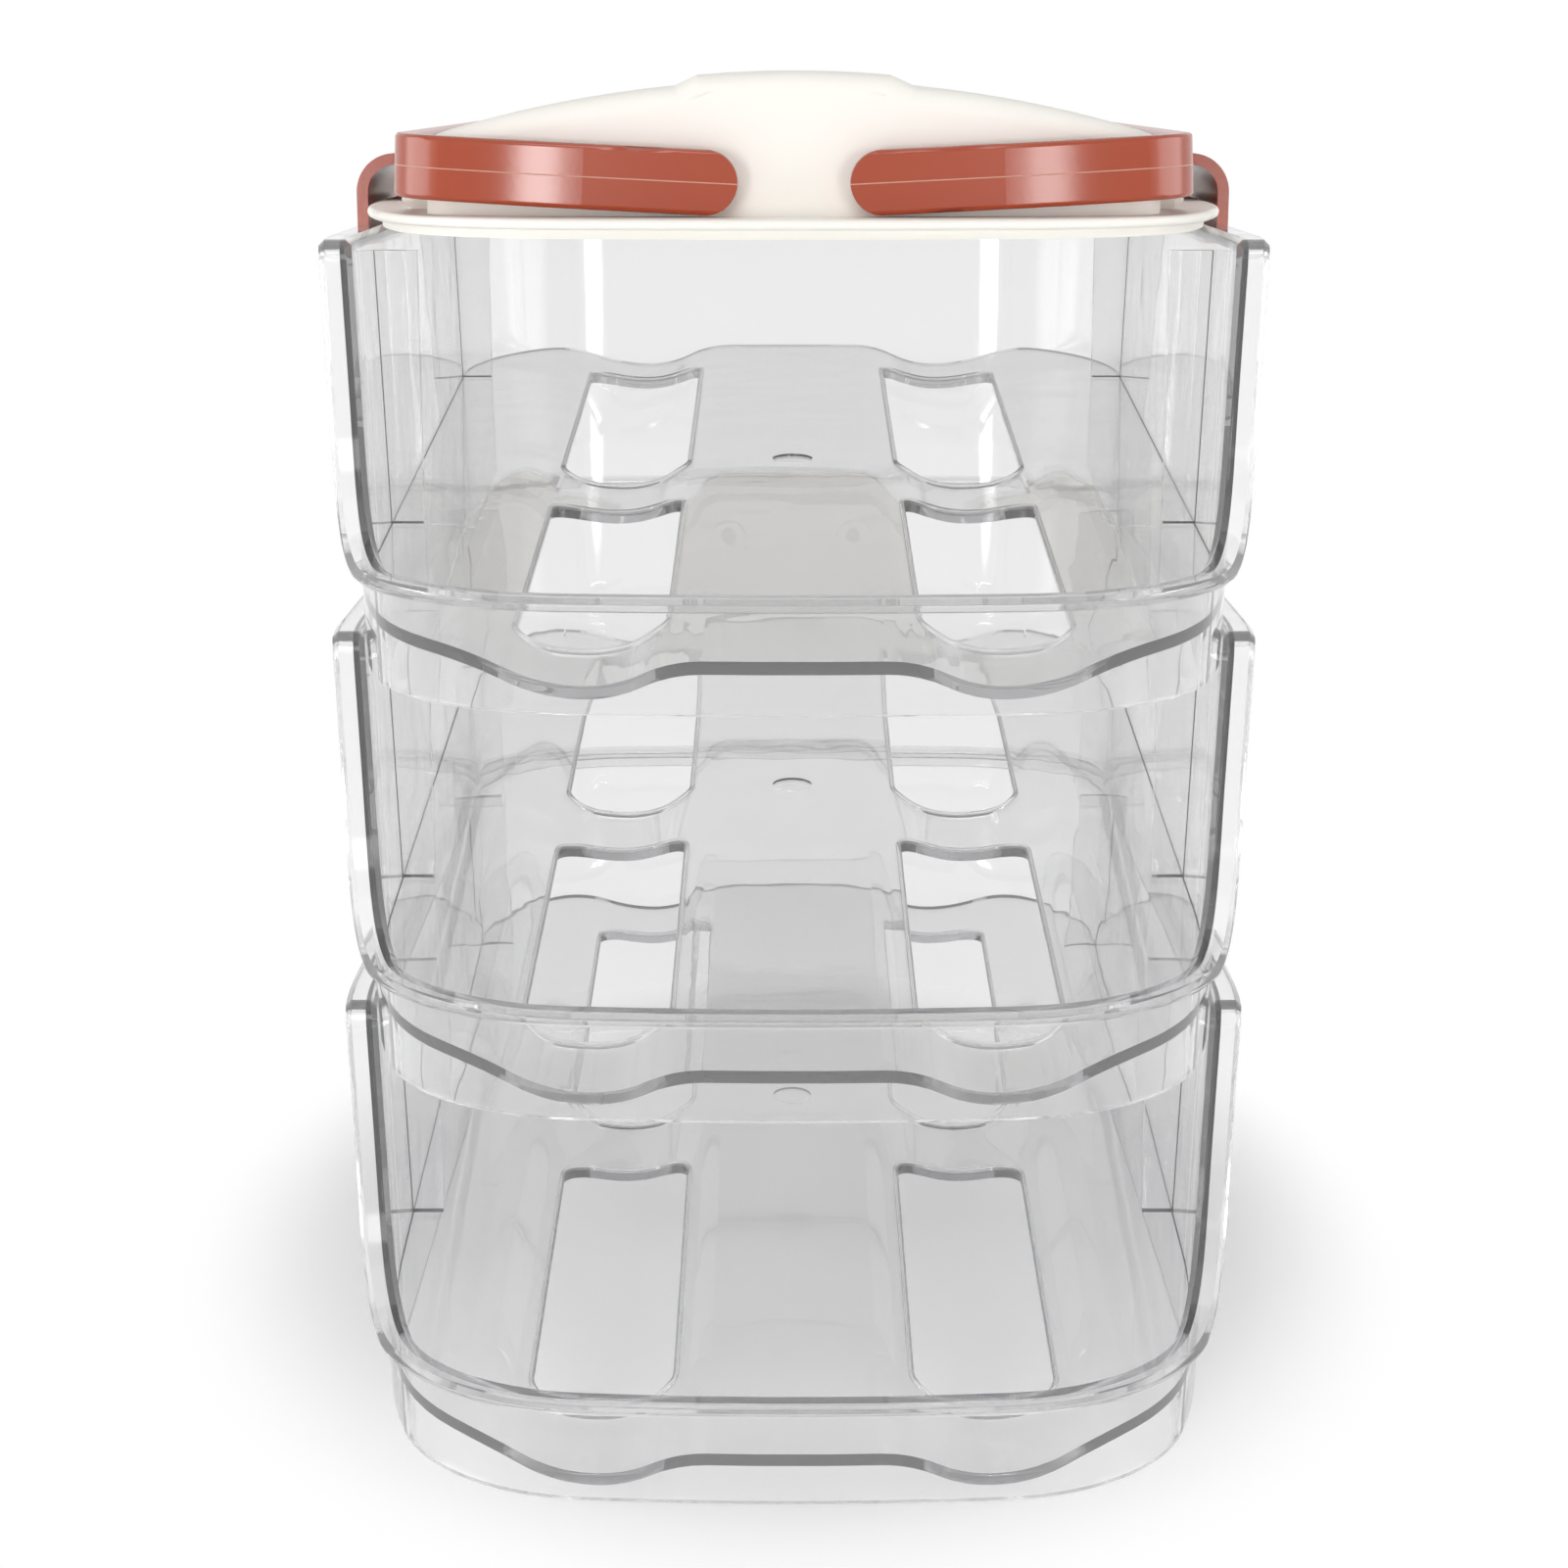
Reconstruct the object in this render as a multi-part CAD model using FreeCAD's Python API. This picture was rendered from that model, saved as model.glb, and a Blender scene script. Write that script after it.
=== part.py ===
"""Rolling egg dispenser: three clear nesting trays, a domed lid, two swing handles, two side latches.

Millimetres. +Z is up, the open front faces -Y, X = 0 is the plane of symmetry,
and the origin is the middle of the footprint on the table.
"""
import FreeCAD, Part
import math
import os
from FreeCAD import Vector as V

os.makedirs("parts", exist_ok=True)


def half_width(arcs):
    """Distance from the plane of symmetry to the straight side that a chain of tangent arcs ends on."""
    x, a0 = 0.0, 0.0
    for radius, a1 in arcs:
        x += radius * (math.sin(math.radians(a1)) - math.sin(math.radians(a0)))
        a0 = a1
    return x


# Driving dimensions: the stack
TIERS = 3
TRAY_H = 79.0              # skirt edge to wall top
NEST = 4.0                 # each skirt stands this deep inside the tray below
TIER_PITCH = TRAY_H - NEST
WALL = 2.2
DRAFT = 2.8                # each wall leans out this much over TRAY_H
FLANGE = 4.0               # rim flange, width outside the wall
FLANGE_T = 2.6
RIM_BEVEL = 1.1            # softened edges of the flange

# Driving dimensions: the plan outline at the skirt edge, as tangent arcs (radius, angle where it ends)
TRAY_FRONT = -145.2
TRAY_REAR = 143.2
BOW_R, CORNER_R, CHEEK_R = 460.0, 42.0, 150.0
REAR_BOW_R, REAR_CORNER_R = 900.0, 40.0
FRONT_ARCS = ((BOW_R, 5.0), (CORNER_R, 72.0), (CHEEK_R, 90.0))
REAR_ARCS = ((REAR_BOW_R, 3.0), (REAR_CORNER_R, 90.0))
SIDE_X = half_width(FRONT_ARCS)
RIM_X = SIDE_X + DRAFT + FLANGE
FAR = 2 * (TRAY_REAR - TRAY_FRONT)      # reaches past every piece

# Driving dimensions: the scooped front opening, seen from the side
SCOOP_Y = -89.0            # the upright front edge of the side walls
SCOOP_R = 32.0
SCOOP_TOP_R = 5.0
LIP_Z = 21.5

# Driving dimensions: the sloping floor
FLOOR_T = 2.4
FLOOR_SLOPE = 6.0          # degrees
FLOOR_RISE = math.tan(math.radians(FLOOR_SLOPE))
RIDGE_HALF, RIDGE_Z = 16.3, 9.6         # heights where the floor meets the front wall
LANE_X, VALLEY_Z = 37.2, 4.8
LEDGE_X, LEDGE_Z = 65.0, 10.0
SLOT_HALF = 14.2
SLOTS_Y = ((-121.0, -19.0), (4.0, 121.0))
SLOT_R = 8.0
RIBS_Y = (-48.0, 99.0)     # stacking ribs on each side wall
RIB_T, RIB_W = 2.4, 8.2
GATE_Y, GATE_R, GATE_IN = 10.8, 4.5, 0.5    # round moulding mark in the ridge

# Driving dimensions: the lid
SEAT_Z = (TIERS - 1) * TIER_PITCH + TRAY_H
LID_FRONT = -83.2
DECK_LIFT, DECK_T = 1.8, 2.0
DECK_LOW = SEAT_Z + DECK_LIFT
DECK_TOP = DECK_LOW + DECK_T
LID_FLANGE = 5.8
LID_T = 2.0
GUIDE_H, GUIDE_T, GUIDE_CLEAR = 3.0, 1.8, 0.5     # rail that drops inside the rear walls
GUIDE_FRONT = 0.0
DOME_FRONT, DOME_REAR = -74.5, 134.5
DOME_RISE = 29.3
DOME_TOP = SEAT_Z + DOME_RISE
DOME_ARCH_R = 240.0
CROWN_R = 4.0              # rounding along the top of the upright walls
BUMP_HALF, BUMP_SIDE = 18.5, 4.2
BUMP_RISE, BUMP_R = 1.7, 209.0

# Driving dimensions: handles
STRAP_T = 4.6
STRAP_GAP = 1.6            # strap to dome wall
TIP_R, TIP_CLEAR = 6.1, 0.4
PIVOT_X, PIVOT_Z = 16.8, DECK_TOP + TIP_CLEAR + TIP_R
HANDLE_REST = 2.8          # the folded handles rise this many degrees outwards
HANDLE_PIN_R = 2.0
HANDLE_PLAY = 0.06
PIN_IN = 2.1               # the pins end inside the straps, out of sight
BOSS_R, BOSS_IN = 4.2, 3.0
PADS_Y = (-35.0, 95.0)     # rest pads under the side rails
PAD_W, PAD_L = 3.2, 9.0

# Driving dimensions: latches
LATCH_Y, LATCH_W = 24.0, 52.0
LATCH_R, LATCH_T = 8.3, 2.4
LATCH_CLEAR, LATCH_LIP = 0.88, 0.6      # leg to rim, and the snap lip on the leg
LATCH_CX = RIM_X + LATCH_CLEAR - LATCH_R + LATCH_T
LATCH_RISE = 5.6
LATCH_CZ = SEAT_Z + LATCH_RISE
LATCH_DROP = 5.2           # the leg ends this far below the rim
HINGE_IN, HINGE_UP = 3.9, 5.0
HINGE_X, HINGE_Z = LATCH_CX - HINGE_IN, LATCH_CZ + HINGE_UP
BARREL_R, BARREL_HALF = 2.5, 18.0
EAR_GAP = 0.4
LATCH_PIN_R = 1.25
LATCH_PLAY = 0.05
PRESS = 0.02

# Driving dimensions: the dome's plan, kept clear of the handles and the latch hinges beside it
STRAP_CLEAR = 1.04         # strap to latch hinge
DOME_X = HINGE_X - BARREL_R - STRAP_CLEAR - STRAP_T - STRAP_GAP
DOME_FLAT, DOME_FLAT_R = 39.8, 1200.0
DOME_BOW_R, DOME_CORNER_R = 75.6, 10.0
FLAT_TURN = DOME_FLAT / DOME_FLAT_R
BOW_TURN = (DOME_X - DOME_CORNER_R - (DOME_FLAT_R - DOME_BOW_R) * FLAT_TURN) / (DOME_BOW_R - DOME_CORNER_R)
DOME_ARCS = ((DOME_FLAT_R, math.degrees(math.asin(FLAT_TURN))),
             (DOME_BOW_R, math.degrees(math.asin(BOW_TURN))), (DOME_CORNER_R, 90.0))
PAD_X = DOME_X + STRAP_GAP + STRAP_T / 2


def normal(deg):
    a = math.radians(deg)
    return V(math.sin(a), -math.cos(a), 0)


def half_arcs(y_end, arcs, off):
    """Tangent arcs from the middle of the front edge round to the straight side."""
    centre, out, a0, r0 = V(0, y_end + arcs[0][0], 0), [], 0.0, arcs[0][0]
    for radius, a1 in arcs:
        centre = centre + normal(a0) * (r0 - radius)
        out.append((centre, radius + off, a0, a1))
        a0, r0 = a1, radius
    return out


def arc_edge(centre, radius, a0, a1, mx, my):
    def at(deg):
        p = centre + normal(deg) * radius
        return V(p.x * mx, p.y * my, 0)
    return Part.Arc(at(a0), at((a0 + a1) / 2), at(a1)).toShape()


def outline(y_front, y_rear, front, rear, off, z):
    """Closed plan outline with bowed ends, moved outwards by off."""
    fronts = half_arcs(y_front, front, off)
    rears = half_arcs(-y_rear, rear, off)

    def end(side, sign):
        c, r, _, a = side[-1]
        p = c + normal(a) * r
        return V(p.x, p.y * sign, 0)

    # the rear corner is moved sideways so that both ends share one straight side
    shift = end(fronts, 1).x - end(rears, -1).x
    rears = [(V(cc.x + shift, cc.y, 0), rr, b0, b1) for cc, rr, b0, b1 in rears[1:]]
    c, r, b0, b1 = rears[0]
    start = c + normal(b0) * r
    edges = []
    c1, r1, _, a1 = fronts[0]
    edges.append(arc_edge(c1, r1, -a1, a1, 1, 1))
    edges += [arc_edge(c, r, b0, b1, 1, 1) for c, r, b0, b1 in fronts[1:]]
    side, back = end(fronts, 1), end(rears, -1)
    edges.append(Part.makeLine(side, back))
    edges += [arc_edge(c, r, b0, b1, 1, -1) for c, r, b0, b1 in reversed(rears)]
    mid = V(0, y_rear + off, 0)
    right, left = V(start.x, -start.y, 0), V(-start.x, -start.y, 0)
    edges.append(Part.Arc(right, mid, left).toShape())
    edges += [arc_edge(c, r, b0, b1, -1, -1) for c, r, b0, b1 in rears]
    edges.append(Part.makeLine(V(-back.x, back.y, 0), V(-side.x, side.y, 0)))
    edges += [arc_edge(c, r, b0, b1, -1, 1) for c, r, b0, b1 in reversed(fronts[1:])]
    wire = Part.Wire(Part.__sortEdges__(edges))
    wire.translate(V(0, 0, z))
    return wire


def tray_outline(off, z):
    return outline(TRAY_FRONT, TRAY_REAR, FRONT_ARCS, REAR_ARCS, off, z)


def lid_outline(off, z):
    return outline(LID_FRONT, TRAY_REAR, FRONT_ARCS, REAR_ARCS, off, z)


def dome_outline(off, z):
    return outline(DOME_FRONT, DOME_REAR, DOME_ARCS, DOME_ARCS, off, z)


def drafted(off, z0, z1):
    """Solid between two plan outlines that follow the walls' draft."""
    lean = DRAFT / TRAY_H
    return Part.makeLoft([tray_outline(off + lean * z0, z0), tray_outline(off + lean * z1, z1)], True, True)


def slab(wire, depth):
    return Part.Face(wire).extrude(V(0, 0, depth))


def prism_x(points, half=FAR):
    """Side-view profile of straight edges and three-point arcs, stretched across X."""
    edges, p = [], points[0]
    for q in points[1:] + [points[0]]:
        if len(q) == 4:
            edges.append(Part.Arc(V(-half, *p), V(-half, *q[:2]), V(-half, *q[2:])).toShape())
            p = q[2:]
        elif math.dist(p, q) > 1e-6:
            edges.append(Part.makeLine(V(-half, *p), V(-half, *q)))
            p = q
    return Part.Face(Part.Wire(edges)).extrude(V(2 * half, 0, 0))


def below_rim(inset):
    """Everything under the rim line, drawn in by inset along the rim."""
    far, low = FAR, -TRAY_H
    cy, cz, r = SCOOP_Y - SCOOP_R, LIP_Z + SCOOP_R, SCOOP_R + inset
    ty, tz, t = SCOOP_Y + SCOOP_TOP_R, TRAY_H - SCOOP_TOP_R, SCOOP_TOP_R - inset
    k = math.sqrt(0.5)
    return prism_x([
        (far, low), (far, TRAY_H - inset), (ty, TRAY_H - inset),
        (ty - t * k, tz + t * k, ty - t, tz),
        (cy + r, cz),
        (cy + r * k, cz - r * k, cy, cz - r),
        (-far, LIP_Z - inset), (-far, low)])


def s_curve(x0, z0, x1, z1):
    """Two equal arcs from one level stretch to the next, as (through, end) points."""
    mx, mz = (x0 + x1) / 2, (z0 + z1) / 2
    r = ((x1 - x0) ** 2 + (z1 - z0) ** 2) / (4 * abs(z1 - z0))
    half = math.asin(abs(mx - x0) / r) / 2
    dx, dz = r * math.sin(half), math.copysign(r * (1 - math.cos(half)), z1 - z0)
    way = math.copysign(dx, x1 - x0)
    return [((x0 + way, z0 + dz), (mx, mz)), ((x1 - way, z1 - dz), (x1, z1))]


def floor_plate():
    """Wavy floor: central ridge, two egg lanes and side ledges, rising to the rear."""
    runs = [[(-LEDGE_X, LEDGE_Z)]] + s_curve(-LEDGE_X, LEDGE_Z, -LANE_X, VALLEY_Z)
    runs += s_curve(-LANE_X, VALLEY_Z, -RIDGE_HALF, RIDGE_Z) + [[(RIDGE_HALF, RIDGE_Z)]]
    runs += s_curve(RIDGE_HALF, RIDGE_Z, LANE_X, VALLEY_Z) + s_curve(LANE_X, VALLEY_Z, LEDGE_X, LEDGE_Z)
    runs += [[(RIM_X, LEDGE_Z)]]
    y0, hinge = TRAY_FRONT - FLOOR_T - WALL, V(0, TRAY_FRONT + WALL, 0)

    def edge_line(depth):
        def at(p):
            return V(p[0], y0, p[1] - depth)
        edges, p = [], (-RIM_X, LEDGE_Z)
        for run in runs:
            if len(run) == 1:
                edges.append(Part.makeLine(at(p), at(run[0])))
            else:
                edges.append(Part.Arc(at(p), at(run[0]), at(run[1])).toShape())
            p = run[-1]
        return edges, at((-RIM_X, LEDGE_Z)), at((RIM_X, LEDGE_Z))

    top, a, b = edge_line(0.0)
    low, c, d = edge_line(FLOOR_T)
    ring = Part.Wire(Part.__sortEdges__(top + low + [Part.makeLine(a, c), Part.makeLine(b, d)]))
    plate = Part.Face(ring).extrude(V(0, FAR, 0))
    plate.rotate(hinge, V(1, 0, 0), FLOOR_SLOPE)
    return plate


def long_slot(x0, x1, y0, y1, r):
    pts = [(x0 + r, y0, x1 - r, y0), (x1, y0 + r, x1, y1 - r),
           (x1 - r, y1, x0 + r, y1), (x0, y1 - r, x0, y0 + r)]
    edges, k = [], r * (1 - math.sqrt(0.5))
    corners = ((x1 - k, y0 + k), (x1 - k, y1 - k), (x0 + k, y1 - k), (x0 + k, y0 + k))
    for i, (ax, ay, bx, by) in enumerate(pts):
        edges.append(Part.makeLine(V(ax, ay, -TRAY_H), V(bx, by, -TRAY_H)))
        nx, ny = pts[(i + 1) % 4][:2]
        edges.append(Part.Arc(V(bx, by, -TRAY_H), V(*corners[i], -TRAY_H), V(nx, ny, -TRAY_H)).toShape())
    return Part.Face(Part.Wire(edges)).extrude(V(0, 0, 2 * TRAY_H))


def rib(side, y):
    """Upright stacking rib inside a side wall; the tray above stands on its top."""
    foot = LEDGE_Z + FLOOR_RISE * (y - TRAY_FRONT - WALL) - FLOOR_T / 2
    x0, x1 = (SIDE_X - RIB_W, RIM_X) if side > 0 else (-RIM_X, RIB_W - SIDE_X)
    post = Part.makeBox(x1 - x0, RIB_T, TIER_PITCH - foot, V(x0, y - RIB_T / 2, foot))
    return post.common(drafted(-WALL / 3, 0.0, TRAY_H))


def bevelled_rim(cavity):
    """Flange along the wall top, down the scooped front and across the lip, with softened edges."""
    upper, lower = below_rim(0.0), below_rim(FLANGE_T)
    rim = drafted(FLANGE, 0.0, TRAY_H).cut(cavity).common(upper.cut(lower)).removeSplitter().Solids[0]
    picked = []
    for edge in rim.Edges:
        mid = edge.valueAt((edge.FirstParameter + edge.LastParameter) / 2)
        turns = [f.normalAt(*f.Surface.parameter(mid)) for f in rim.ancestorsOfType(edge, Part.Face)]
        if len(turns) != 2 or turns[0].getAngle(turns[1]) < 0.5:
            continue
        spot = Part.Vertex(mid)
        on_wall = lower.distToShape(spot)[0] < RIM_BEVEL and cavity.distToShape(spot)[0] < RIM_BEVEL
        if not on_wall:
            picked.append(edge)
    return rim.makeChamfer(RIM_BEVEL, picked)


def make_tray():
    cavity = drafted(-WALL, -2.0, TRAY_H + 2.0)
    shell = drafted(0.0, 0.0, TRAY_H).cut(cavity)
    body = shell.common(below_rim(FLANGE_T / 2))
    rim = bevelled_rim(cavity)
    plate = floor_plate().common(drafted(-WALL / 3, 0.0, TRAY_H))
    for y0, y1 in SLOTS_Y:
        for x in (-LANE_X, LANE_X):
            plate = plate.cut(long_slot(x - SLOT_HALF, x + SLOT_HALF, y0, y1, SLOT_R))
    up = V(0, -math.sin(math.radians(FLOOR_SLOPE)), math.cos(math.radians(FLOOR_SLOPE)))
    gate = V(0, GATE_Y, RIDGE_Z + FLOOR_RISE * (GATE_Y - TRAY_FRONT - WALL))
    plate = plate.cut(Part.makeCylinder(GATE_R, FLOOR_T, gate - up * GATE_IN, up))
    ribs = [rib(s, y) for s in (-1, 1) for y in RIBS_Y]
    tray = body.fuse([rim, plate] + ribs).removeSplitter()
    return tray


def crown_z(x, wall):
    """Height of the dome's arched crown at distance x from the middle, wall below its outer face."""
    r = DOME_ARCH_R - wall
    return DOME_TOP - DOME_ARCH_R + math.sqrt(r * r - x * x)


def crown(wall):
    """Front-view arch of the dome, stretched along Y."""
    half, low, y0 = RIM_X, DECK_LOW - DECK_T, DOME_FRONT - RIM_X
    a, b = V(-half, y0, crown_z(half, wall)), V(half, y0, crown_z(half, wall))
    c, d = V(-half, y0, low), V(half, y0, low)
    edges = [Part.makeLine(c, d), Part.makeLine(d, b), Part.makeLine(a, c),
             Part.Arc(b, V(0, y0, crown_z(0, wall)), a).toShape()]
    return Part.Face(Part.Wire(Part.__sortEdges__(edges))).extrude(V(0, FAR, 0))


def bump(wall):
    """Raised middle panel of the crown: a flatter arch with sloping sides."""
    y0, top = DOME_FRONT - RIM_X, DOME_TOP + BUMP_RISE - wall
    edge = top - BUMP_R + math.sqrt(BUMP_R ** 2 - BUMP_HALF ** 2)
    fall = (edge - crown_z(BUMP_HALF + BUMP_SIDE, wall)) / BUMP_SIDE
    foot = BUMP_HALF + 2 * BUMP_SIDE
    a, b = V(-BUMP_HALF, y0, edge), V(BUMP_HALF, y0, edge)
    c, d = V(-foot, y0, edge - 2 * BUMP_SIDE * fall), V(foot, y0, edge - 2 * BUMP_SIDE * fall)
    e, f = V(-foot, y0, DECK_LOW - DECK_T), V(foot, y0, DECK_LOW - DECK_T)
    edges = [Part.makeLine(c, a), Part.Arc(a, V(0, y0, top), b).toShape(), Part.makeLine(b, d),
             Part.makeLine(d, f), Part.makeLine(f, e), Part.makeLine(e, c)]
    return Part.Face(Part.Wire(edges)).extrude(V(0, FAR, 0))


def dome(inset):
    plan = slab(dome_outline(-inset, DECK_LOW - DECK_T), DOME_RISE + BUMP_RISE + DECK_T)
    return plan.common(crown(inset).fuse(bump(inset))).removeSplitter()


def along_y(x, z, r, y0, y1):
    return Part.makeCylinder(r, y1 - y0, V(x, y0, z), V(0, 1, 0))


def soften_top(shape, radius):
    """Round the dome's upper edges, where the crown meets its upright walls."""
    keep = []
    for edge in shape.Edges:
        mid = edge.valueAt((edge.FirstParameter + edge.LastParameter) / 2)
        runs_back = edge.BoundBox.YLength > (DOME_REAR - DOME_FRONT) / 2 and abs(mid.x) < DOME_X / 2
        if edge.BoundBox.ZMin > DECK_TOP + TIP_R and edge.BoundBox.ZLength < 2 * TIP_R and not runs_back:
            keep.append(edge)
    return shape.makeFillet(radius, keep)


def strap_low(x):
    """Height of a folded handle's lower face at distance x from the middle."""
    a = math.radians(HANDLE_REST)
    return PIVOT_Z - TIP_R * math.cos(a) + (x - PIVOT_X) * math.sin(a)


def make_lid():
    deck = slab(lid_outline(LID_FLANGE, DECK_LOW), DECK_T)
    deck = deck.makeFillet(0.45 * DECK_T, [e for e in deck.Edges if e.BoundBox.ZLength < 0.01])
    inside = DECK_LIFT + DECK_T / 3
    skirt = slab(lid_outline(DRAFT, SEAT_Z), inside)
    skirt = skirt.cut(slab(lid_outline(DRAFT - WALL, SEAT_Z - GUIDE_H), 2 * inside + GUIDE_H))
    guide = slab(lid_outline(GUIDE_T - WALL + GUIDE_CLEAR, SEAT_Z - GUIDE_H), inside + GUIDE_H)
    guide = guide.cut(slab(lid_outline(GUIDE_CLEAR - WALL, SEAT_Z - 2 * GUIDE_H), 2 * inside + 3 * GUIDE_H))
    guide = guide.common(Part.makeBox(2 * RIM_X, FAR, TRAY_H, V(-RIM_X, GUIDE_FRONT, SEAT_Z - TRAY_H / 2)))
    shell = soften_top(dome(0.0), CROWN_R)
    shell = shell.common(Part.makeBox(2 * RIM_X, FAR, TRAY_H, V(-RIM_X, -FAR / 2, DECK_LOW + DECK_T / 4)))
    solid = deck.fuse(shell).cut(dome(LID_T))
    extra, holes = [skirt, guide], []
    for sx in (-1, 1):
        for face_y, sy in ((DOME_FRONT, -1), (DOME_REAR, 1)):
            y0, y1 = sorted((face_y - sy * (LID_T + BOSS_IN), face_y - sy * LID_T / 2))
            extra.append(along_y(sx * PIVOT_X, PIVOT_Z, BOSS_R, y0, y1))
            holes.append(along_y(sx * PIVOT_X, PIVOT_Z, HANDLE_PIN_R - PRESS, y0 - LID_T, y1 + LID_T))
        width = LATCH_W / 2 - BARREL_HALF - EAR_GAP
        for y0 in (LATCH_Y - LATCH_W / 2, LATCH_Y + LATCH_W / 2 - width):
            ear = Part.makeBox(2 * BARREL_R, width, HINGE_Z - DECK_TOP + DECK_T / 4,
                               V(sx * HINGE_X - BARREL_R, y0, DECK_TOP - DECK_T / 4))
            extra.append(ear.fuse(along_y(sx * HINGE_X, HINGE_Z, BARREL_R, y0, y0 + width)))
            holes.append(along_y(sx * HINGE_X, HINGE_Z, LATCH_PIN_R - PRESS,
                                 y0 - EAR_GAP / 2, y0 + width + EAR_GAP / 2))
        for y in PADS_Y:
            low, top = DECK_TOP - DECK_T / 4, strap_low(PAD_X - PAD_W / 2) - HANDLE_PLAY
            extra.append(Part.makeBox(PAD_W, PAD_L, top - low, V(sx * PAD_X - PAD_W / 2, y - PAD_L / 2, low)))
    lid = solid.fuse(extra)
    for h in holes:
        lid = lid.cut(h)
    return lid.removeSplitter()


def make_handle(side):
    z0 = PIVOT_Z - TIP_R
    outer = slab(dome_outline(STRAP_GAP + STRAP_T, z0), 2 * TIP_R)
    band = outer.cut(slab(dome_outline(STRAP_GAP, z0 - 1), 2 * TIP_R + 2))
    band = band.makeFillet(0.2 * STRAP_T, [e for e in band.Edges if e.BoundBox.ZLength < 0.01])
    reach = Part.makeBox(RIM_X, FAR, 4 * TIP_R, V(-PIVOT_X - RIM_X, -FAR / 2, PIVOT_Z - 2 * TIP_R))
    ends = along_y(-PIVOT_X, PIVOT_Z, TIP_R, -FAR / 2, FAR / 2)
    strap = band.common(reach.fuse(ends))
    for y, sy in ((DOME_FRONT, -1), (DOME_REAR, 1)):
        depth = STRAP_GAP + PIN_IN + 5 * HANDLE_PLAY
        y0, y1 = sorted((y, y + sy * depth))
        strap = strap.cut(along_y(-PIVOT_X, PIVOT_Z, HANDLE_PIN_R + HANDLE_PLAY, y0, y1))
    strap.rotate(V(-PIVOT_X, 0, PIVOT_Z), V(0, 1, 0), HANDLE_REST)
    if side > 0:
        strap = strap.mirror(V(0, 0, 0), V(1, 0, 0))
    return strap


def make_handle_pins():
    pins = []
    for sx in (-1, 1):
        for y, sy in ((DOME_FRONT, -1), (DOME_REAR, 1)):
            y0, y1 = sorted((y - sy * (LID_T + BOSS_IN), y + sy * (STRAP_GAP + PIN_IN)))
            pins.append(along_y(sx * PIVOT_X, PIVOT_Z, HANDLE_PIN_R, y0, y1))
    return Part.makeCompound(pins)


def make_latch(side):
    """Clip section drawn in XZ for the right side, stretched along Y."""
    y0 = LATCH_Y - LATCH_W / 2
    r0, r1 = LATCH_R - LATCH_T, LATCH_R

    def at(r, deg):
        a = math.radians(deg)
        return V(LATCH_CX + r * math.cos(a), y0, LATCH_CZ + r * math.sin(a))

    def curl(a_end, width, start):
        edges = [Part.Arc(at(r1, 0), at(r1, a_end / 2), at(r1, a_end)).toShape(),
                 Part.makeLine(at(r1, a_end), at(r0, a_end)),
                 Part.Arc(at(r0, a_end), at(r0, a_end / 2), at(r0, 0)).toShape(),
                 Part.makeLine(at(r0, 0), at(r1, 0))]
        shape = Part.Face(Part.Wire(edges)).extrude(V(0, width, 0))
        shape.translate(V(0, start - y0, 0))
        return shape

    hood = curl(96.0, LATCH_W, y0)
    neck = curl(128.0, 2 * BARREL_HALF, LATCH_Y - BARREL_HALF)
    leg_x0, leg_x1 = LATCH_CX + r0, LATCH_CX + r1
    low = SEAT_Z - LATCH_DROP
    leg = Part.makeBox(LATCH_T, LATCH_W, LATCH_CZ - low, V(leg_x0, y0, low))
    back, tip = leg_x1 - LATCH_T / 3, leg_x0 - LATCH_LIP
    lip = Part.makePolygon([V(tip, y0, low), V(back, y0, low), V(back, y0, low + 5 * LATCH_LIP),
                            V(leg_x0, y0, low + 5 * LATCH_LIP), V(tip, y0, low + 3 * LATCH_LIP),
                            V(tip, y0, low)])
    lip = Part.Face(lip).extrude(V(0, LATCH_W, 0))
    barrel = along_y(HINGE_X, HINGE_Z, BARREL_R, LATCH_Y - BARREL_HALF, LATCH_Y + BARREL_HALF)
    clip = hood.fuse([neck, leg, lip, barrel])
    clip = clip.cut(along_y(HINGE_X, HINGE_Z, LATCH_PIN_R + LATCH_PLAY, y0, y0 + LATCH_W))
    clip = clip.removeSplitter()
    if side < 0:
        clip = clip.mirror(V(0, 0, 0), V(1, 0, 0))
    return clip


def make_latch_pins():
    half = LATCH_W / 2 - EAR_GAP
    return Part.makeCompound([along_y(s * HINGE_X, HINGE_Z, LATCH_PIN_R, LATCH_Y - half, LATCH_Y + half)
                              for s in (-1, 1)])


def save(name, shape):
    shape.exportStep("parts/" + name + ".step")


tray = make_tray()
for level, name in enumerate(("bottom_tray", "middle_tray", "top_tray")):
    save(name, tray.translated(V(0, 0, level * TIER_PITCH)))
save("lid", make_lid())
save("handle_left", make_handle(-1))
save("handle_right", make_handle(1))
save("handle_pins", make_handle_pins())
save("latch_left", make_latch(-1))
save("latch_right", make_latch(1))
save("latch_pins", make_latch_pins())
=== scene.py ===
# %% [markdown]
# # Dressing a stacked egg dispenser
# The object is three clear trays that nest into a stack, a cream lid, two brown
# swing handles and two brown side clips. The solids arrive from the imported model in
# metres, already in place, so this lesson is about finishes, fine moulded detail,
# light and the camera.

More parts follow.
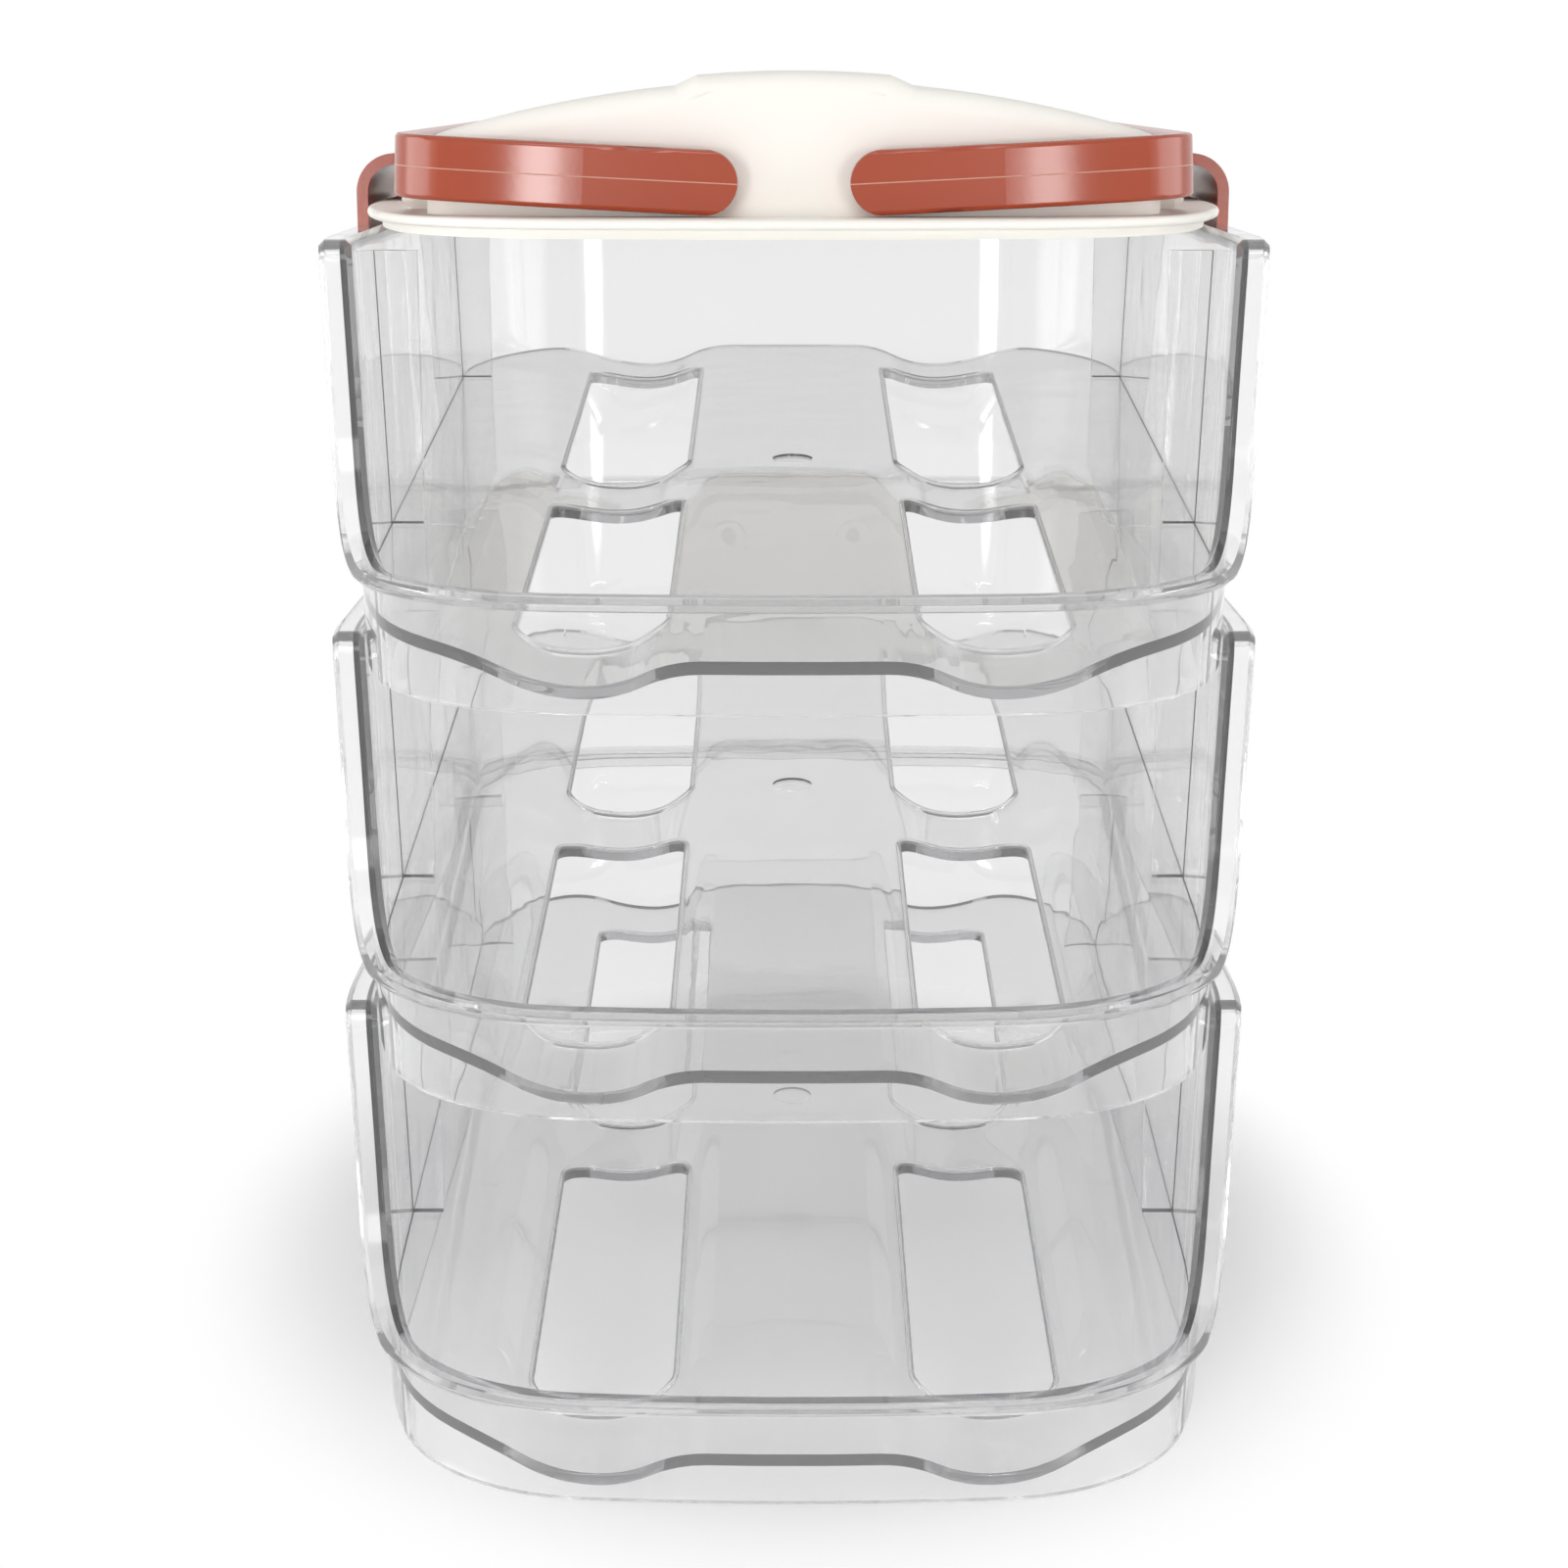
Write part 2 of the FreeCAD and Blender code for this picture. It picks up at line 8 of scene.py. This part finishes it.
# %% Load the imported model
import bmesh
import bpy
import math
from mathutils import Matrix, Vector


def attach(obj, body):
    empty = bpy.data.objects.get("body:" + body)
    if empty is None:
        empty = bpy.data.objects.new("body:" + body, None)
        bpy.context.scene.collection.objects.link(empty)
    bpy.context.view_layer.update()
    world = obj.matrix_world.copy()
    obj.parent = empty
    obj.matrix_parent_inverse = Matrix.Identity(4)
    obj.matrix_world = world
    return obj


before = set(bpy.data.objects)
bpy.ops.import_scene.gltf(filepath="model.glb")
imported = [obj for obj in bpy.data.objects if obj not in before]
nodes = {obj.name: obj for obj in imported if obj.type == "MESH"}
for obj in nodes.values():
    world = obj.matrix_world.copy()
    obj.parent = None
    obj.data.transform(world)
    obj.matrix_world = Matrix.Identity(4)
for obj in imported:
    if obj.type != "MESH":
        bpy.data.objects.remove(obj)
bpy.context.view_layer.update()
print("nodes:", sorted(nodes))

# %% [markdown]
# ## Clear polystyrene
# The trays are moulded in a clear, faintly grey plastic, with a polished outside. A
# Principled shader that lets most of the light through bends what lies behind it.
# The rest is a slight haze, which the real plastic has too: it keeps a single wall
# from vanishing against white. Absorption inside makes the plastic darker where one
# looks along a wall instead of through it, and that draws the dark edges. Lamps have
# to reach through it as well, so shadow rays meet a tinted Transparent shader. No
# moulded wall is quite flat, so a long, shallow wave bends reflections a little.

# %% Clear plastic
HAZE = 0.09                       # share of light that is scattered, not passed on
SURFACE_TINT = (0.94, 0.94, 0.94, 1)
SHADOW_TINT = (0.90, 0.90, 0.905, 1)
INSIDE_TINT = (0.56, 0.56, 0.575, 1)
INSIDE_DENSITY = 60.0             # per metre
STYRENE_IOR = 1.5
WAVE_SCALE, WAVE_STRENGTH, WAVE_HEIGHT = 55.0, 0.10, 0.0006


def new_material(name):
    mat = bpy.data.materials.new(name)
    mat.use_nodes = True
    tree = mat.node_tree
    return mat, tree, tree.nodes["Principled BSDF"], tree.nodes["Material Output"]


def noise(tree, scale, detail=4.0, stretch=(1, 1, 1)):
    """A noise pattern on Object coordinates, stretched along an axis if wanted."""
    coords = tree.nodes.new("ShaderNodeTexCoord")
    mapping = tree.nodes.new("ShaderNodeMapping")
    mapping.inputs["Scale"].default_value = stretch
    tex = tree.nodes.new("ShaderNodeTexNoise")
    tex.inputs["Scale"].default_value = scale
    tex.inputs["Detail"].default_value = detail
    tree.links.new(coords.outputs["Object"], mapping.inputs["Vector"])
    tree.links.new(mapping.outputs["Vector"], tex.inputs["Vector"])
    return tex


def bump_from(tree, shader, height, strength, distance):
    bump = tree.nodes.new("ShaderNodeBump")
    bump.inputs["Strength"].default_value = strength
    bump.inputs["Distance"].default_value = distance
    tree.links.new(height, bump.inputs["Height"])
    tree.links.new(bump.outputs["Normal"], shader.inputs["Normal"])


def clear_plastic():
    mat, tree, glass, out = new_material("clear_plastic")
    glass.inputs["Base Color"].default_value = SURFACE_TINT
    glass.inputs["Transmission Weight"].default_value = 1.0 - HAZE
    glass.inputs["IOR"].default_value = STYRENE_IOR
    glass.inputs["Roughness"].default_value = 0.0
    waves = noise(tree, WAVE_SCALE, 1.0)
    bump_from(tree, glass, waves.outputs["Fac"], WAVE_STRENGTH, WAVE_HEIGHT)
    path = tree.nodes.new("ShaderNodeLightPath")
    thin = tree.nodes.new("ShaderNodeBsdfTransparent")
    thin.inputs["Color"].default_value = SHADOW_TINT
    mix = tree.nodes.new("ShaderNodeMixShader")
    tree.links.new(path.outputs["Is Shadow Ray"], mix.inputs["Fac"])
    tree.links.new(glass.outputs["BSDF"], mix.inputs[1])
    tree.links.new(thin.outputs["BSDF"], mix.inputs[2])
    tree.links.new(mix.outputs["Shader"], out.inputs["Surface"])
    absorb = tree.nodes.new("ShaderNodeVolumeAbsorption")
    absorb.inputs["Color"].default_value = INSIDE_TINT
    absorb.inputs["Density"].default_value = INSIDE_DENSITY
    tree.links.new(absorb.outputs["Volume"], out.inputs["Volume"])
    return mat


clear = clear_plastic()
print("made", clear.name)

# %% [markdown]
# ## Cream and brown
# The lid is a satin cream moulding and the handles and clips a glossier brown.
# Both get a very fine grain in the bump and a slow drift in roughness, so the
# highlights break up a little, as they do on moulded plastic.

# %% Cream lid and brown handles
DRIFT_SCALE, GRAIN_SCALE, FLOW_SCALE = 18.0, 900.0, 40.0
FLOW_STRETCH = (1, 1, 22)         # the streaks lie level
ROUGH_DRIFT = 0.02
GRAIN_HEIGHT = 0.0002


def moulded(name, dark, light, rough, grain, gloss, streak):
    """Moulded plastic: slow colour drift, level flow streaks and a fine grain."""
    mat, tree, shader, _ = new_material(name)
    drift = noise(tree, DRIFT_SCALE)
    ramp = tree.nodes.new("ShaderNodeValToRGB")
    ramp.color_ramp.elements[0].color = (*dark, 1)
    ramp.color_ramp.elements[1].color = (*light, 1)
    tree.links.new(drift.outputs["Fac"], ramp.inputs["Fac"])
    tree.links.new(ramp.outputs["Color"], shader.inputs["Base Color"])
    spread = tree.nodes.new("ShaderNodeMapRange")
    spread.inputs["To Min"].default_value = rough - ROUGH_DRIFT
    spread.inputs["To Max"].default_value = rough + ROUGH_DRIFT
    tree.links.new(drift.outputs["Fac"], spread.inputs["Value"])
    tree.links.new(spread.outputs["Result"], shader.inputs["Roughness"])
    fine = noise(tree, GRAIN_SCALE, 2.0)
    flow = noise(tree, FLOW_SCALE, 3.0, FLOW_STRETCH)
    both = tree.nodes.new("ShaderNodeMath")
    both.operation = "MULTIPLY_ADD"
    both.inputs[1].default_value = streak
    tree.links.new(flow.outputs["Fac"], both.inputs[0])
    tree.links.new(fine.outputs["Fac"], both.inputs[2])
    bump_from(tree, shader, both.outputs["Value"], grain, GRAIN_HEIGHT)
    shader.inputs["Specular IOR Level"].default_value = gloss
    return mat


cream = moulded("cream_plastic", (0.95, 0.925, 0.865), (0.965, 0.945, 0.89),
                rough=0.55, grain=0.06, gloss=0.3, streak=0.5)
brown = moulded("brown_plastic", (0.345, 0.040, 0.005), (0.385, 0.048, 0.008),
                rough=0.20, grain=0.05, gloss=0.7, streak=2.0)
flash = moulded("brown_flash", (0.60, 0.30, 0.22), (0.68, 0.36, 0.27),
                rough=0.25, grain=0.04, gloss=0.5, streak=0.5)
pin_grey = moulded("pin_plastic", (0.72, 0.70, 0.64), (0.78, 0.76, 0.70),
                   rough=0.45, grain=0.05, gloss=0.4, streak=0.5)

finishes = {"bottom_tray": clear, "middle_tray": clear, "top_tray": clear, "lid": cream,
            "handle_left": brown, "handle_right": brown, "latch_left": brown,
            "latch_right": brown, "handle_pins": pin_grey, "latch_pins": pin_grey}
for name, mat in finishes.items():
    mesh = nodes[name].data
    mesh.materials.clear()
    mesh.materials.append(mat)
print("finished nodes:", len(finishes))

# %% [markdown]
# ## Lines left by the moulds
# Two fine raised lines are easy to see on the real object. Each slot in a tray's
# floor has a small rounded rim, and each handle has a parting line along the middle
# of its outer face. Both follow edges that the solids already have, so the helpers
# below pick those edges out of a merged copy of a node, walk along them from end to
# end, and lay a thin round bead on the walk. The bead rides on the body that carries
# it.


# %% Walk along edges and lay a bead
def walks(edges):
    """Split edges into runs of points; a run that comes back to its start is closed."""
    links = {}
    for edge in edges:
        for v, other in (edge.verts, reversed(edge.verts)):
            links.setdefault(v, []).append(other)
    left, runs = set(links), []
    while left:
        ends = [v for v in left if len(links[v]) == 1]
        start = min(ends or left, key=lambda v: (round(v.co.y, 5), round(v.co.x, 5)))
        run, here = [start], start
        left.discard(start)
        while True:
            ways = [v for v in links[here] if v in left]
            if not ways:
                break
            here = min(ways, key=lambda v: (v.co - here.co).length)
            left.discard(here)
            run.append(here)
        runs.append(([v.co.copy() for v in run], not ends))
    return runs


def lay_bead(name, body, mat, runs, radius):
    curve = bpy.data.curves.new(name, "CURVE")
    curve.dimensions = "3D"
    curve.bevel_depth = radius
    curve.bevel_resolution = 2
    for points, closed in runs:
        line = curve.splines.new("POLY")
        line.points.add(len(points) - 1)
        for spot, p in zip(line.points, points):
            spot.co = (*p, 1)
        line.use_cyclic_u = closed
    curve.materials.append(mat)
    piece = bpy.data.objects.new(name, curve)
    bpy.context.scene.collection.objects.link(piece)
    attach(piece, body)
    print(name, "runs:", [len(points) for points, _ in runs])


def merged_copy(node):
    bm = bmesh.new()
    bm.from_mesh(nodes[node].data)
    bmesh.ops.remove_doubles(bm, verts=bm.verts, dist=1e-6)
    bm.normal_update()
    return bm


# %% [markdown]
# ### Slot rims
# A slot's upper edge is where a face that looks up meets one that stands upright.
# Inside the lanes only the slots have such edges, so that test and a box in plan
# find all four outlines of a tray.

# %% Slot rims
LANE_REACH = (0.021, 0.0535)      # slot edges lie this far from the middle plane
SLOT_ENDS = (-0.123, 0.123)
LOOKS_UP, UPRIGHT = 0.8, 0.35     # heights of a face's normal
RIM_RADIUS = 0.0006


def slot_edges(bm):
    found = []
    for edge in bm.edges:
        if len(edge.link_faces) != 2:
            continue
        mid = (edge.verts[0].co + edge.verts[1].co) / 2
        in_lane = LANE_REACH[0] < abs(mid.x) < LANE_REACH[1]
        in_slots = SLOT_ENDS[0] < mid.y < SLOT_ENDS[1]
        side, top = sorted(f.normal.z for f in edge.link_faces)
        if in_lane and in_slots and top > LOOKS_UP and abs(side) < UPRIGHT:
            found.append(edge)
    return found


TRAYS = (("bottom_tray", "bottom"), ("middle_tray", "middle"), ("top_tray", "top"))
for tray, body in TRAYS:
    bm = merged_copy(tray)
    rims = walks(slot_edges(bm))
    lay_bead(tray + "_slot_rims", body, clear, rims, RIM_RADIUS)
    bm.free()

# %% [markdown]
# ### Parting lines
# A plane through the strap at half its height cuts the copy. The edges of that cut
# that lie on faces looking outwards are the line, from tip to tip. Short runs inside
# the pivot holes are dropped by keeping the longest.

# %% Parting lines
STRAP_TILT = math.radians(2.8)
STRAP_MIDDLE = Vector((0.0, 0.03, 0.24))
PIVOT_X, PIVOT_Z = 0.0168, 0.2393
LINE_RADIUS = 0.00013


def parting_edges(bm, sign):
    pivot = Vector((sign * PIVOT_X, 0.0, PIVOT_Z))
    level = Vector((-sign * math.sin(STRAP_TILT), 0.0, math.cos(STRAP_TILT)))
    everything = bm.verts[:] + bm.edges[:] + bm.faces[:]
    cut = bmesh.ops.bisect_plane(bm, geom=everything, dist=1e-7,
                                 plane_co=pivot, plane_no=level)["geom_cut"]
    bm.normal_update()
    outer = []
    for edge in [g for g in cut if isinstance(g, bmesh.types.BMEdge)]:
        way = sum((f.normal for f in edge.link_faces), Vector())
        spot = (edge.verts[0].co + edge.verts[1].co) / 2 - STRAP_MIDDLE
        if way.x * spot.x + way.y * spot.y > 0:
            outer.append(edge)
    return outer


HANDLES = (("handle_left", "left_handle", -1), ("handle_right", "right_handle", 1))
for node, body, sign in HANDLES:
    bm = merged_copy(node)
    longest = max(walks(parting_edges(bm, sign)), key=lambda run: len(run[0]))
    lay_bead(node + "_parting_line", body, flash, [longest], LINE_RADIUS)
    bm.free()

# %% [markdown]
# ## Floor
# The object stands on white paper that lies flat and curves up behind it, as in a
# product studio, so no horizon shows. One point is drawn out to a line, spun round
# the curve and drawn up, and the line is then pulled out sideways to a sheet.

# %% Sweep
HALF_WIDTH, FRONT_EDGE, CURVE_START = 4.0, -3.0, 1.0
CURVE_RADIUS, BACK_HEIGHT = 0.6, 2.5
PAPER_Z = -0.0002                 # just under the trays, so that no faces coincide

scene = bpy.context.scene
bm = bmesh.new()
near = bm.verts.new((-HALF_WIDTH, FRONT_EDGE, PAPER_Z))
flat = bmesh.ops.extrude_vert_indiv(bm, verts=[near])["verts"]
bmesh.ops.translate(bm, verts=flat, vec=(0, CURVE_START - FRONT_EDGE, 0))
bmesh.ops.spin(bm, geom=flat, cent=(-HALF_WIDTH, CURVE_START, CURVE_RADIUS),
               axis=(1, 0, 0), angle=math.pi / 2, steps=16)
top = max(bm.verts, key=lambda v: v.co.y + v.co.z)
rise = bmesh.ops.extrude_vert_indiv(bm, verts=[top])["verts"]
bmesh.ops.translate(bm, verts=rise, vec=(0, 0, BACK_HEIGHT))
wide = bmesh.ops.extrude_edge_only(bm, edges=bm.edges[:])["geom"]
far_side = [g for g in wide if isinstance(g, bmesh.types.BMVert)]
bmesh.ops.translate(bm, verts=far_side, vec=(2 * HALF_WIDTH, 0, 0))
sweep_mesh = bpy.data.meshes.new("paper_sweep")
bm.to_mesh(sweep_mesh)
bm.free()
sweep = bpy.data.objects.new("paper_sweep", sweep_mesh)
scene.collection.objects.link(sweep)
print("sweep faces:", len(sweep_mesh.polygons))

# %% [markdown]
# ## White paper
# Near the object the paper is shaded as it is, so it keeps the soft shadow. Further
# out, past an oval round the footprint, it goes over to plain white for every ray
# that looks at it: straight from the camera, in a reflection or through the plastic.
# Light that falls on the object is not changed by this.

# %% Paper material
PAPER_TINT = (0.98, 0.98, 0.98, 1)
OVAL = (1.35, 1.0, 1.0)           # the footprint is longer than wide
FADE_FROM, FADE_TO = 0.125, 0.19  # metres from the middle, along the length


def looking_rays(tree):
    """1 for rays that look at the background: straight, mirrored or through plastic."""
    path = tree.nodes.new("ShaderNodeLightPath")
    result = path.outputs["Is Camera Ray"]
    for kind in ("Is Glossy Ray", "Is Transmission Ray"):
        either = tree.nodes.new("ShaderNodeMath")
        either.operation = "MAXIMUM"
        tree.links.new(result, either.inputs[0])
        tree.links.new(path.outputs[kind], either.inputs[1])
        result = either.outputs["Value"]
    return result


paper, tree, shader, out = new_material("white_paper")
shader.inputs["Base Color"].default_value = PAPER_TINT
shader.inputs["Roughness"].default_value = 0.9
shader.inputs["Specular IOR Level"].default_value = 0.1
coords = tree.nodes.new("ShaderNodeTexCoord")
oval = tree.nodes.new("ShaderNodeMapping")
oval.inputs["Scale"].default_value = OVAL
away = tree.nodes.new("ShaderNodeVectorMath")
away.operation = "LENGTH"
fade = tree.nodes.new("ShaderNodeMapRange")
fade.interpolation_type = "SMOOTHSTEP"
fade.inputs["From Min"].default_value = FADE_FROM
fade.inputs["From Max"].default_value = FADE_TO
tree.links.new(coords.outputs["Object"], oval.inputs["Vector"])
tree.links.new(oval.outputs["Vector"], away.inputs[0])
tree.links.new(away.outputs["Value"], fade.inputs["Value"])
blend = tree.nodes.new("ShaderNodeMath")
blend.operation = "MULTIPLY"
tree.links.new(looking_rays(tree), blend.inputs[0])
tree.links.new(fade.outputs["Result"], blend.inputs[1])
white = tree.nodes.new("ShaderNodeEmission")
mix = tree.nodes.new("ShaderNodeMixShader")
tree.links.new(blend.outputs["Value"], mix.inputs["Fac"])
tree.links.new(shader.outputs["BSDF"], mix.inputs[1])
tree.links.new(white.outputs["Emission"], mix.inputs[2])
tree.links.new(mix.outputs["Shader"], out.inputs["Surface"])
sweep_mesh.materials.append(paper)
print("made", paper.name)

# %% [markdown]
# ## Room
# An even, dim room fills the shadows. The same looking rays see it white, like the
# paper, so that other views have no grey edge either.

# %% World
ROOM_LEVEL = 0.30

world = bpy.data.worlds.new("studio")
scene.world = world
world.use_nodes = True
tree = world.node_tree
room = tree.nodes["Background"]
room.inputs["Color"].default_value = (1, 1, 1, 1)
room.inputs["Strength"].default_value = ROOM_LEVEL
behind = tree.nodes.new("ShaderNodeBackground")
behind.inputs["Color"].default_value = (1, 1, 1, 1)
mix = tree.nodes.new("ShaderNodeMixShader")
tree.links.new(looking_rays(tree), mix.inputs["Fac"])
tree.links.new(room.outputs["Background"], mix.inputs[1])
tree.links.new(behind.outputs["Background"], mix.inputs[2])
tree.links.new(mix.outputs["Shader"], tree.nodes["World Output"].inputs["Surface"])
print("room level:", ROOM_LEVEL)

# %% [markdown]
# ## Lamps
# Softboxes at both sides and overhead give the plain soft light, and one high in
# front lights the lid's face. The two low ones in front are small: they are the pale
# bands that the glossy handles mirror near their ends. A softbox is brightest in the
# middle of its cloth, so each lamp's face falls off towards its rim.

# %% Lamps
CLOTH_FULL, CLOTH_DARK = 0.30, 0.5    # from the middle, in widths of the cloth
CLOTH_PEAK = 1.5


def soft_edges(lamp):
    """Let a lamp's face fall off towards its rim, as the cloth of a softbox does."""
    lamp.use_nodes = True
    tree = lamp.node_tree
    glow = tree.nodes["Emission"]
    place = tree.nodes.new("ShaderNodeNewGeometry")
    centre = tree.nodes.new("ShaderNodeVectorMath")
    centre.operation = "SUBTRACT"
    centre.inputs[1].default_value = (0.5, 0.5, 0)
    reach = tree.nodes.new("ShaderNodeVectorMath")
    reach.operation = "LENGTH"
    fall = tree.nodes.new("ShaderNodeMapRange")
    fall.interpolation_type = "SMOOTHSTEP"
    fall.inputs["From Min"].default_value = CLOTH_DARK
    fall.inputs["From Max"].default_value = CLOTH_FULL
    fall.inputs["To Max"].default_value = CLOTH_PEAK
    tree.links.new(place.outputs["Parametric"], centre.inputs[0])
    tree.links.new(centre.outputs["Vector"], reach.inputs[0])
    tree.links.new(reach.outputs["Value"], fall.inputs["Value"])
    tree.links.new(fall.outputs["Result"], glow.inputs["Strength"])


def softbox(name, place, aim, size, watts):
    lamp = bpy.data.lights.new(name, "AREA")
    lamp.shape = "RECTANGLE"
    lamp.size, lamp.size_y = size
    lamp.energy = watts
    soft_edges(lamp)
    obj = bpy.data.objects.new(name, lamp)
    scene.collection.objects.link(obj)
    obj.location = place
    facing = Vector(aim) - Vector(place)
    obj.rotation_euler = facing.to_track_quat("-Z", "Y").to_euler()


LAMPS = (                         # name, place, aim, size in metres, watts
    ("overhead", (0.0, 0.05, 1.3), (0, 0, 0.1), (1.2, 1.2), 1.7),
    ("key", (-0.15, -0.95, 1.05), (0, -0.05, 0.2), (1.0, 0.6), 3.8),
    ("front_left", (-0.43, -1.12, 0.21), (0, -0.08, 0.24), (0.34, 0.45), 3.7),
    ("front_right", (0.43, -1.12, 0.21), (0, -0.08, 0.24), (0.34, 0.45), 2.6),
    ("left_box", (-0.95, -0.1, 0.35), (0, 0, 0.2), (1.0, 0.9), 5.0),
    ("right_box", (0.95, -0.1, 0.35), (0, 0, 0.2), (1.0, 0.9), 4.4),
)
for lamp in LAMPS:
    softbox(*lamp)
print("lamps:", [lamp[0] for lamp in LAMPS])

# %% [markdown]
# ## Camera
# A pinhole camera fitted to the photograph: the same corners, lips and skirts on all
# three trays gave its place, its tilt and its focal length in the photo's pixels.

# %% Camera
PHOTO_PIXELS, FOCAL_PIXELS = 1601.0, 3024.0
EYE = (-0.0019, -0.651, 0.2585)
LOOK_DOWN = 13.4                  # degrees

camera = bpy.data.cameras.new("camera")
camera.sensor_width = 36.0
camera.lens = camera.sensor_width * FOCAL_PIXELS / PHOTO_PIXELS
camera.clip_start = 0.01
eye = bpy.data.objects.new("camera", camera)
scene.collection.objects.link(eye)
eye.location = EYE
eye.rotation_euler = (math.radians(90.0 - LOOK_DOWN), 0, 0)
scene.camera = eye
scene.view_settings.view_transform = "Standard"
print("lens:", round(camera.lens, 2), "mm")
